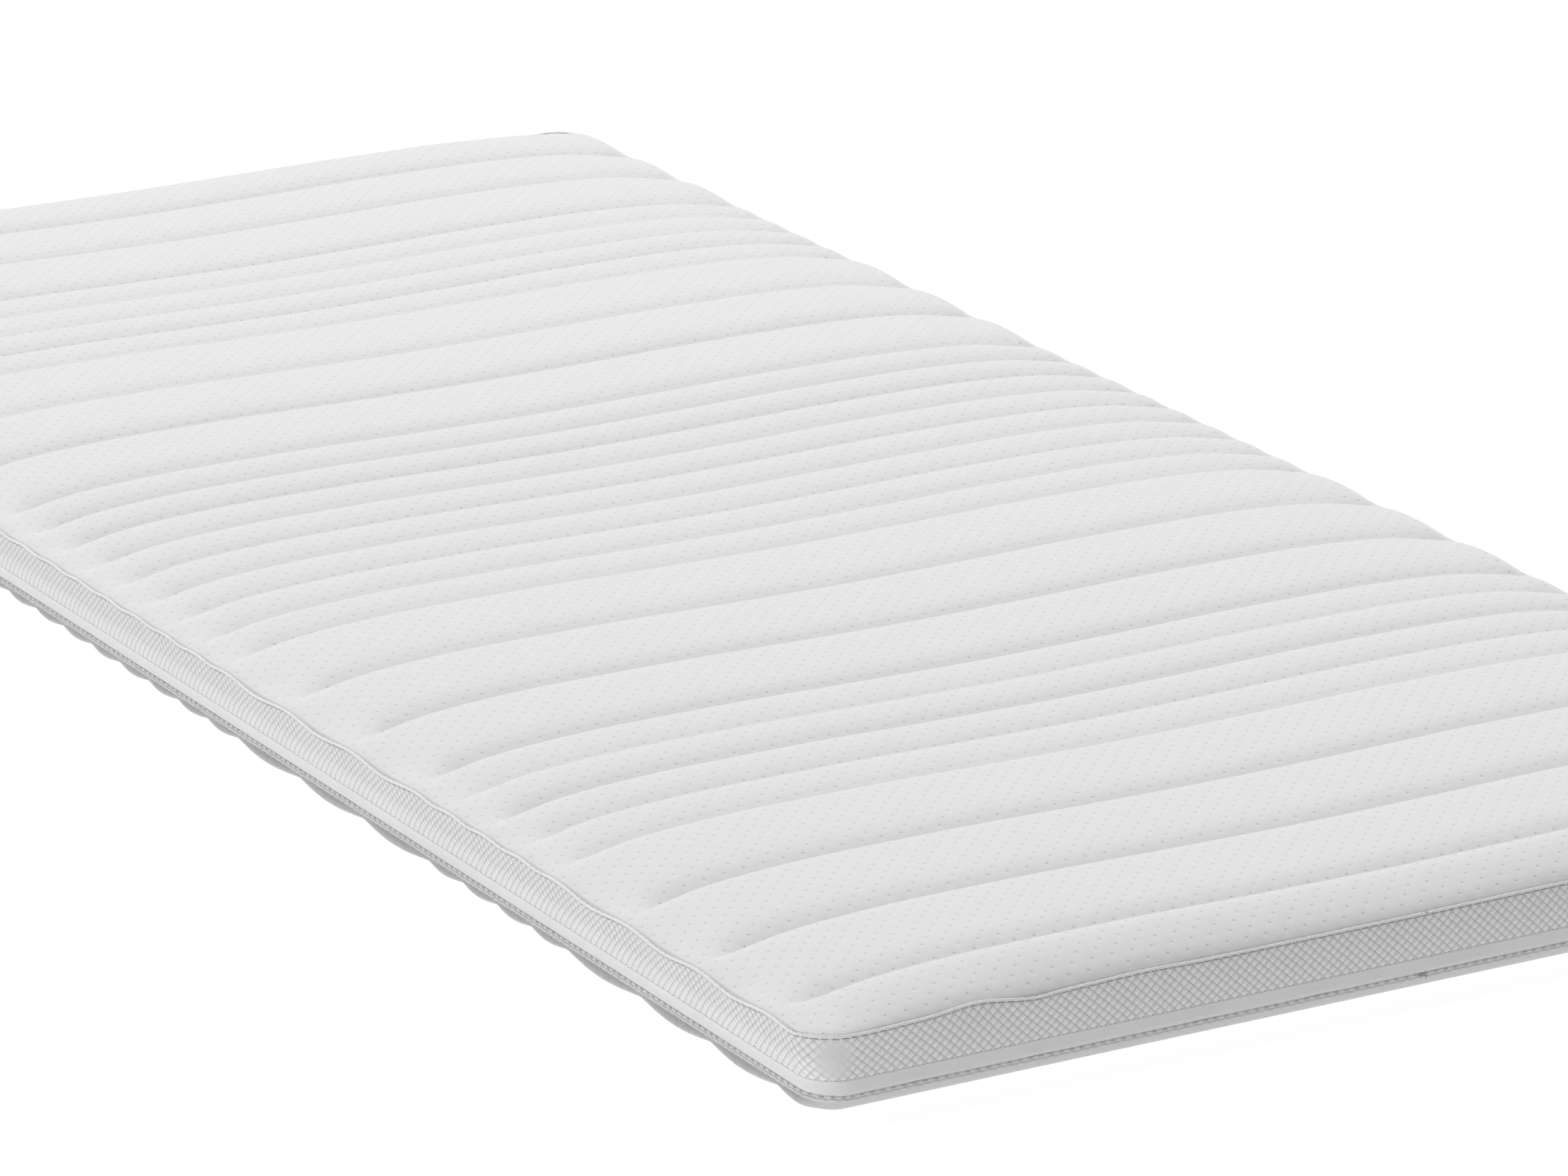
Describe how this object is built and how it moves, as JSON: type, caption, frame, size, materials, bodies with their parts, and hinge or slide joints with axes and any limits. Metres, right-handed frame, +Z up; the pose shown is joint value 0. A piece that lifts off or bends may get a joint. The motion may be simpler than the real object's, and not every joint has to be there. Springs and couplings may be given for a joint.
{
  "type": "memory foam mattress",
  "caption": "Thin single memory foam mattress laid over a bed: a foam core in a quilted zip-off cover with a mesh border and a flap over the zip.",
  "frame": {"origin": "on the floor under the middle of the mattress", "axes": "+Z up, +Y along the length to the head end, +X across the width"},
  "size_m": [0.9, 2, 0.074],
  "materials": {
    "knit_jersey": "soft brushed knit",
    "polyester_wadding": "loose fibre",
    "nonwoven_backing": "thin spunbond",
    "seam_cord": "covered cord",
    "spacer_mesh": "raised diamond mesh",
    "flap_satin": "smooth satin",
    "label_satin": "blank satin",
    "zip_tape": "woven tape",
    "zip_nylon": "nylon",
    "coated_zinc": "white enamel",
    "memory_foam": "open-celled foam"
  },
  "bodies": {
    "lower_cover": {"bottom_face_fabric": "knit_jersey", "bottom_wadding": "polyester_wadding", "bottom_backing": "nonwoven_backing", "bottom_seam_cord": "seam_cord", "lower_zip_tape": "zip_tape", "lower_zip_coil": "zip_nylon", "zip_start_box": "zip_nylon", "lower_end_stop": "zip_nylon"},
    "upper_cover": {"top_face_fabric": "knit_jersey", "top_wadding": "polyester_wadding", "top_backing": "nonwoven_backing", "top_seam_cord": "seam_cord", "border_left": "spacer_mesh", "border_right": "spacer_mesh", "border_head": "spacer_mesh", "border_foot": "spacer_mesh", "care_label": "label_satin", "zip_flap_left": "flap_satin", "zip_flap_right": "flap_satin", "zip_flap_foot": "flap_satin", "upper_zip_tape": "zip_tape", "upper_zip_coil": "zip_nylon", "zip_start_pin": "zip_nylon", "upper_end_stop": "zip_nylon"},
    "head_flap": {"zip_flap_head": "flap_satin"},
    "slider": {"zip_slider_body": "coated_zinc", "puller_pin": "coated_zinc"},
    "puller": {"zip_pull_tab": "coated_zinc"},
    "core": {"memory_foam_core": "memory_foam"}
  },
  "joints": [
    {"name": "cover_lift", "type": "slide", "parent": "lower_cover", "child": "upper_cover", "axis": [0, 0, 1], "range_m": [0, 0.4]},
    {"name": "core_lift", "type": "slide", "parent": "lower_cover", "child": "core", "axis": [0, 0, 1], "range_m": [0, 0.2]},
    {"name": "flap_lift", "type": "hinge", "parent": "upper_cover", "child": "head_flap", "pos_m": [0, 0.9964, 0.0284], "axis": [1, 0, 0], "range_deg": [0, 120]},
    {"name": "zip_slide", "type": "slide", "parent": "lower_cover", "child": "slider", "axis": [1, 0, 0], "range_m": [0, 0.785]},
    {"name": "puller_swing", "type": "hinge", "parent": "slider", "child": "puller", "pos_m": [-0.3887, 0.9977, 0.021], "axis": [0, 0, 1], "range_deg": [0, 60]}
  ],
  "couplings": [
    {"joint": "core_lift", "follows": "cover_lift", "ratio": 0.5},
    {"joint": "puller_swing", "follows": "flap_lift", "ratio": 0.5}
  ]
}
